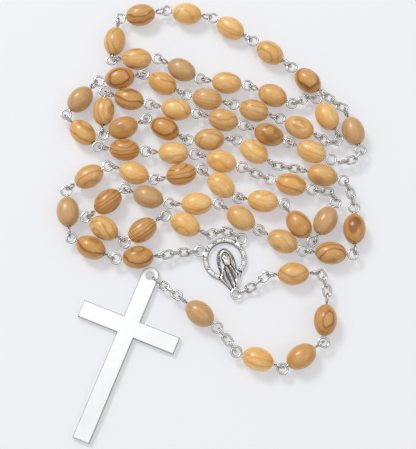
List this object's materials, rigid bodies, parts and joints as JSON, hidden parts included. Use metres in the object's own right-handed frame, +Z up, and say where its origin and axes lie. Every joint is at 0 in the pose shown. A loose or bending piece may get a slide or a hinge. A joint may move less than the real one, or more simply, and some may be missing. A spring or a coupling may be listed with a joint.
{
  "type": "rosary",
  "caption": "Prayer rosary laid flat: oval wooden beads on looped wire pins, short cable chains, a round centre medal with a veiled figure and a plain bar cross.",
  "frame": {"origin": "centre of the bounding box on the table the rosary lies on", "axes": "+Z up from the table; +Y from the cross toward the far end of the loop, along the longest extent; +X to the right, seen from above"},
  "size_m": [0.0834, 0.1214, 0.006],
  "materials": {
    "olive_wood": "satin varnish",
    "wire_metal": "bright nickel",
    "cross_metal": "satin silver",
    "medal_metal": "antique silver, dark in the recesses"
  },
  "bodies": {
    "medal": {"medal": "medal_metal"},
    "tail_top_1": {"tail_top_1": "wire_metal"},
    "tail_top_2": {"tail_top_2": "wire_metal"},
    "tail_top_3": {"tail_top_3": "wire_metal"},
    "tail_top_4": {"tail_top_4": "wire_metal"},
    "tail_bead_1_pin": {"tail_bead_1_pin": "wire_metal"},
    "tail_bead_1": {"tail_bead_1": "olive_wood"},
    "tail_upper_1": {"tail_upper_1": "wire_metal"},
    "tail_upper_2": {"tail_upper_2": "wire_metal"},
    "tail_upper_3": {"tail_upper_3": "wire_metal"},
    "tail_bead_2_pin": {"tail_bead_2_pin": "wire_metal"},
    "tail_bead_2": {"tail_bead_2": "olive_wood"},
    "tail_bead_3_pin": {"tail_bead_3_pin": "wire_metal"},
    "tail_bead_3": {"tail_bead_3": "olive_wood"},
    "tail_bead_4_pin": {"tail_bead_4_pin": "wire_metal"},
    "tail_bead_4": {"tail_bead_4": "olive_wood"},
    "tail_lower_1": {"tail_lower_1": "wire_metal"},
    "tail_lower_2": {"tail_lower_2": "wire_metal"},
    "tail_lower_3": {"tail_lower_3": "wire_metal"},
    "tail_bead_5_pin": {"tail_bead_5_pin": "wire_metal"},
    "tail_bead_5": {"tail_bead_5": "olive_wood"},
    "tail_cross_1": {"tail_cross_1": "wire_metal"},
    "tail_cross_2": {"tail_cross_2": "wire_metal"},
    "tail_cross_3": {"tail_cross_3": "wire_metal"},
    "tail_cross_4": {"tail_cross_4": "wire_metal"},
    "cross": {"cross": "cross_metal"},
    "chain_medal_left": {"chain_medal_left": "wire_metal"},
    "decade_1": {"decade_1_beads": "olive_wood", "decade_1_pins": "wire_metal"},
    "chain_1a": {"chain_1a": "wire_metal"},
    "father_1_pin": {"father_1_pin": "wire_metal"},
    "father_1": {"father_1": "olive_wood"},
    "chain_1b": {"chain_1b": "wire_metal"},
    "decade_2": {"decade_2_beads": "olive_wood", "decade_2_pins": "wire_metal"},
    "chain_2a": {"chain_2a": "wire_metal"},
    "father_2_pin": {"father_2_pin": "wire_metal"},
    "father_2": {"father_2": "olive_wood"},
    "chain_2b": {"chain_2b": "wire_metal"},
    "decade_3": {"decade_3_beads": "olive_wood", "decade_3_pins": "wire_metal"},
    "chain_3a": {"chain_3a": "wire_metal"},
    "father_3_pin": {"father_3_pin": "wire_metal"},
    "father_3": {"father_3": "olive_wood"},
    "chain_3b": {"chain_3b": "wire_metal"},
    "decade_4": {"decade_4_beads": "olive_wood", "decade_4_pins": "wire_metal"},
    "chain_4a": {"chain_4a": "wire_metal"},
    "father_4_pin": {"father_4_pin": "wire_metal"},
    "father_4": {"father_4": "olive_wood"},
    "chain_4b": {"chain_4b": "wire_metal"},
    "decade_5": {"decade_5_beads": "olive_wood", "decade_5_pins": "wire_metal"},
    "chain_medal_right": {"chain_medal_right": "wire_metal"}
  },
  "joints": [
    {"name": "tail_swing_01", "type": "hinge", "parent": "medal", "child": "tail_top_1", "pos_m": [0.00611, -0.02222, 0.00125], "axis": [0, 0, 1], "range_deg": [0, 3]},
    {"name": "tail_swing_02", "type": "hinge", "parent": "tail_top_1", "child": "tail_top_2", "pos_m": [0.00932, -0.02099, 0.00152], "axis": [0.0738, 0.0281, -0.9969], "range_deg": [-3, 0]},
    {"name": "tail_swing_03", "type": "hinge", "parent": "tail_top_2", "child": "tail_top_3", "pos_m": [0.01065, -0.02028, 0.00213], "axis": [-0.1586, -0.1269, 0.9792], "range_deg": [0, 3]},
    {"name": "tail_swing_04", "type": "hinge", "parent": "tail_top_3", "child": "tail_top_4", "pos_m": [0.01287, -0.0185, 0.00271], "axis": [0.1586, 0.1269, -0.9792], "range_deg": [-3, 0]},
    {"name": "tail_swing_05", "type": "hinge", "parent": "tail_top_4", "child": "tail_bead_1_pin", "pos_m": [0.01411, -0.01755, 0.003], "axis": [0, 0, 1], "range_deg": [0, 3]},
    {"name": "tail_bead_1_spin", "type": "hinge", "parent": "tail_bead_1_pin", "child": "tail_bead_1", "pos_m": [0.0211, -0.01724, 0.003], "axis": [0.999, 0.0448, 0], "continuous": true},
    {"name": "tail_swing_06", "type": "hinge", "parent": "tail_bead_1_pin", "child": "tail_upper_1", "pos_m": [0.0281, -0.01693, 0.003], "axis": [0, 0, -1], "range_deg": [-8, 0]},
    {"name": "tail_swing_07", "type": "hinge", "parent": "tail_upper_1", "child": "tail_upper_2", "pos_m": [0.0289, -0.01819, 0.003], "axis": [0, 0, 1], "range_deg": [0, 8]},
    {"name": "tail_swing_08", "type": "hinge", "parent": "tail_upper_2", "child": "tail_upper_3", "pos_m": [0.02969, -0.02098, 0.003], "axis": [0, 0, -1], "range_deg": [-8, 0]},
    {"name": "tail_swing_09", "type": "hinge", "parent": "tail_upper_3", "child": "tail_bead_2_pin", "pos_m": [0.02985, -0.02247, 0.003], "axis": [0, 0, 1], "range_deg": [0, 8]},
    {"name": "tail_bead_2_spin", "type": "hinge", "parent": "tail_bead_2_pin", "child": "tail_bead_2", "pos_m": [0.02912, -0.02944, 0.003], "axis": [-0.1043, -0.9945, 0], "continuous": true},
    {"name": "tail_swing_10", "type": "hinge", "parent": "tail_bead_2_pin", "child": "tail_bead_3_pin", "pos_m": [0.02853, -0.03504, 0.003], "axis": [0, 0, -1], "range_deg": [-8, 0]},
    {"name": "tail_bead_3_spin", "type": "hinge", "parent": "tail_bead_3_pin", "child": "tail_bead_3", "pos_m": [0.02266, -0.03885, 0.003], "axis": [-0.8389, -0.5443, 0], "continuous": true},
    {"name": "tail_swing_11", "type": "hinge", "parent": "tail_bead_3_pin", "child": "tail_bead_4_pin", "pos_m": [0.01813, -0.04179, 0.003], "axis": [0, 0, 1], "range_deg": [0, 8]},
    {"name": "tail_bead_4_spin", "type": "hinge", "parent": "tail_bead_4_pin", "child": "tail_bead_4", "pos_m": [0.01151, -0.03952, 0.003], "axis": [-0.9459, 0.3246, 0], "continuous": true},
    {"name": "tail_swing_12", "type": "hinge", "parent": "tail_bead_4_pin", "child": "tail_lower_1", "pos_m": [0.00583, -0.03757, 0.003], "axis": [0, 0, -1], "range_deg": [-8, 0]},
    {"name": "tail_swing_13", "type": "hinge", "parent": "tail_lower_1", "child": "tail_lower_2", "pos_m": [0.00423, -0.03516, 0.003], "axis": [0, 0, 1], "range_deg": [0, 8]},
    {"name": "tail_swing_14", "type": "hinge", "parent": "tail_lower_2", "child": "tail_lower_3", "pos_m": [0.00334, -0.03395, 0.003], "axis": [0, 0, -1], "range_deg": [-8, 0]},
    {"name": "tail_swing_15", "type": "hinge", "parent": "tail_lower_3", "child": "tail_bead_5_pin", "pos_m": [0.00148, -0.03172, 0.003], "axis": [0, 0, 1], "range_deg": [0, 8]},
    {"name": "tail_bead_5_spin", "type": "hinge", "parent": "tail_bead_5_pin", "child": "tail_bead_5", "pos_m": [-0.00339, -0.02772, 0.003], "axis": [-0.773, 0.6344, 0], "continuous": true},
    {"name": "tail_swing_16", "type": "hinge", "parent": "tail_bead_5_pin", "child": "tail_cross_1", "pos_m": [-0.0088, -0.02328, 0.003], "axis": [0, 0, -1], "range_deg": [-8, 0]},
    {"name": "tail_swing_17", "type": "hinge", "parent": "tail_cross_1", "child": "tail_cross_2", "pos_m": [-0.00999, -0.02238, 0.00273], "axis": [-0.1619, 0.1226, 0.9792], "range_deg": [0, 8]},
    {"name": "tail_swing_18", "type": "hinge", "parent": "tail_cross_2", "child": "tail_cross_3", "pos_m": [-0.01226, -0.02066, 0.00214], "axis": [0.1619, -0.1226, -0.9792], "range_deg": [-8, 0]},
    {"name": "tail_swing_19", "type": "hinge", "parent": "tail_cross_3", "child": "tail_cross_4", "pos_m": [-0.0135, -0.01972, 0.00152], "axis": [-0.0579, 0.044, 0.9974], "range_deg": [0, 8]},
    {"name": "cross_swing", "type": "hinge", "parent": "tail_cross_4", "child": "cross", "pos_m": [-0.01648, -0.01745, 0.00125], "axis": [0, 0, -1], "range_deg": [-8, 8]},
    {"name": "lift_01", "type": "hinge", "parent": "medal", "child": "chain_medal_left", "pos_m": [-0.00474, -0.01084, 0.00135], "axis": [-0.0972, 0.9953, 0], "range_deg": [0, 6]},
    {"name": "lift_02", "type": "hinge", "parent": "chain_medal_left", "child": "decade_1", "pos_m": [-0.01328, -0.0125, 0.00312], "axis": [0.331, -0.9436, 0], "range_deg": [-6, 6]},
    {"name": "lift_03", "type": "hinge", "parent": "decade_1", "child": "chain_1a", "pos_m": [0.03338, 0.0033, 0.003], "axis": [-0.874, 0.486, 0], "range_deg": [-6, 6]},
    {"name": "lift_04", "type": "hinge", "parent": "chain_1a", "child": "father_1_pin", "pos_m": [0.02785, 0.00547, 0.003], "axis": [-0.2536, -0.9673, 0], "range_deg": [-6, 6]},
    {"name": "father_1_spin", "type": "hinge", "parent": "father_1_pin", "child": "father_1", "pos_m": [0.02108, 0.00725, 0.003], "axis": [-0.9673, 0.2536, 0], "continuous": true},
    {"name": "lift_05", "type": "hinge", "parent": "father_1_pin", "child": "chain_1b", "pos_m": [0.01431, 0.00902, 0.003], "axis": [0.2536, 0.9673, 0], "range_deg": [-6, 6]},
    {"name": "lift_06", "type": "hinge", "parent": "chain_1b", "child": "decade_2", "pos_m": [0.00908, 0.01182, 0.003], "axis": [-0.2884, -0.9575, 0], "range_deg": [-6, 6]},
    {"name": "lift_07", "type": "hinge", "parent": "decade_2", "child": "chain_2a", "pos_m": [0.02949, 0.021, 0.003], "axis": [0.8036, 0.5952, 0], "range_deg": [-6, 6]},
    {"name": "lift_08", "type": "hinge", "parent": "chain_2a", "child": "father_2_pin", "pos_m": [0.0349, 0.02117, 0.003], "axis": [0.8398, -0.5429, 0], "range_deg": [-6, 6]},
    {"name": "father_2_spin", "type": "hinge", "parent": "father_2_pin", "child": "father_2", "pos_m": [0.0313, 0.0268, 0.003], "axis": [-0.4594, 0.8882, 0], "continuous": true},
    {"name": "lift_09", "type": "hinge", "parent": "father_2_pin", "child": "chain_2b", "pos_m": [0.02809, 0.03302, 0.003], "axis": [0.8882, 0.4594, 0], "range_deg": [-6, 6]},
    {"name": "lift_10", "type": "hinge", "parent": "chain_2b", "child": "decade_3", "pos_m": [0.0229, 0.03007, 0.003], "axis": [-0.4122, -0.9111, 0], "range_deg": [-6, 6]},
    {"name": "lift_11", "type": "hinge", "parent": "decade_3", "child": "chain_3a", "pos_m": [0.03093, 0.03304, 0.003], "axis": [0.5923, 0.8057, 0], "range_deg": [-6, 6]},
    {"name": "lift_12", "type": "hinge", "parent": "chain_3a", "child": "father_3_pin", "pos_m": [0.03687, 0.02888, 0.003], "axis": [-0.4267, -0.9044, 0], "range_deg": [-6, 6]},
    {"name": "father_3_spin", "type": "hinge", "parent": "father_3_pin", "child": "father_3", "pos_m": [0.03834, 0.02251, 0.003], "axis": [0.3008, -0.9537, 0], "continuous": true},
    {"name": "lift_13", "type": "hinge", "parent": "father_3_pin", "child": "chain_3b", "pos_m": [0.04045, 0.01583, 0.003], "axis": [0.9537, 0.3008, 0], "range_deg": [-6, 6]},
    {"name": "lift_14", "type": "hinge", "parent": "medal", "child": "chain_medal_right", "pos_m": [0.00651, -0.0067, 0.00135], "axis": [0.4906, 0.8714, 0], "range_deg": [-6, 6]},
    {"name": "lift_15", "type": "hinge", "parent": "chain_medal_right", "child": "decade_5", "pos_m": [-0.0015, -0.00721, 0.00313], "axis": [-0.5759, 0.8175, 0], "range_deg": [-6, 6]},
    {"name": "lift_16", "type": "hinge", "parent": "decade_5", "child": "chain_4b", "pos_m": [0.03773, 0.00199, 0.003], "axis": [-0.9998, 0.0221, 0], "range_deg": [-6, 6]},
    {"name": "lift_17", "type": "hinge", "parent": "chain_4b", "child": "father_4_pin", "pos_m": [0.03633, 0.00807, 0.003], "axis": [0.2574, 0.9663, 0], "range_deg": [-6, 6]},
    {"name": "father_4_spin", "type": "hinge", "parent": "father_4_pin", "child": "father_4", "pos_m": [0.02957, 0.00987, 0.003], "axis": [0.9663, -0.2574, 0], "continuous": true},
    {"name": "lift_18", "type": "hinge", "parent": "father_4_pin", "child": "chain_4a", "pos_m": [0.0235, 0.01156, 0.003], "axis": [-0.166, -0.9861, 0], "range_deg": [-6, 6]},
    {"name": "lift_19", "type": "hinge", "parent": "chain_4a", "child": "decade_4", "pos_m": [0.01629, 0.01271, 0.003], "axis": [0.1784, 0.984, 0], "range_deg": [-6, 6]}
  ]
}
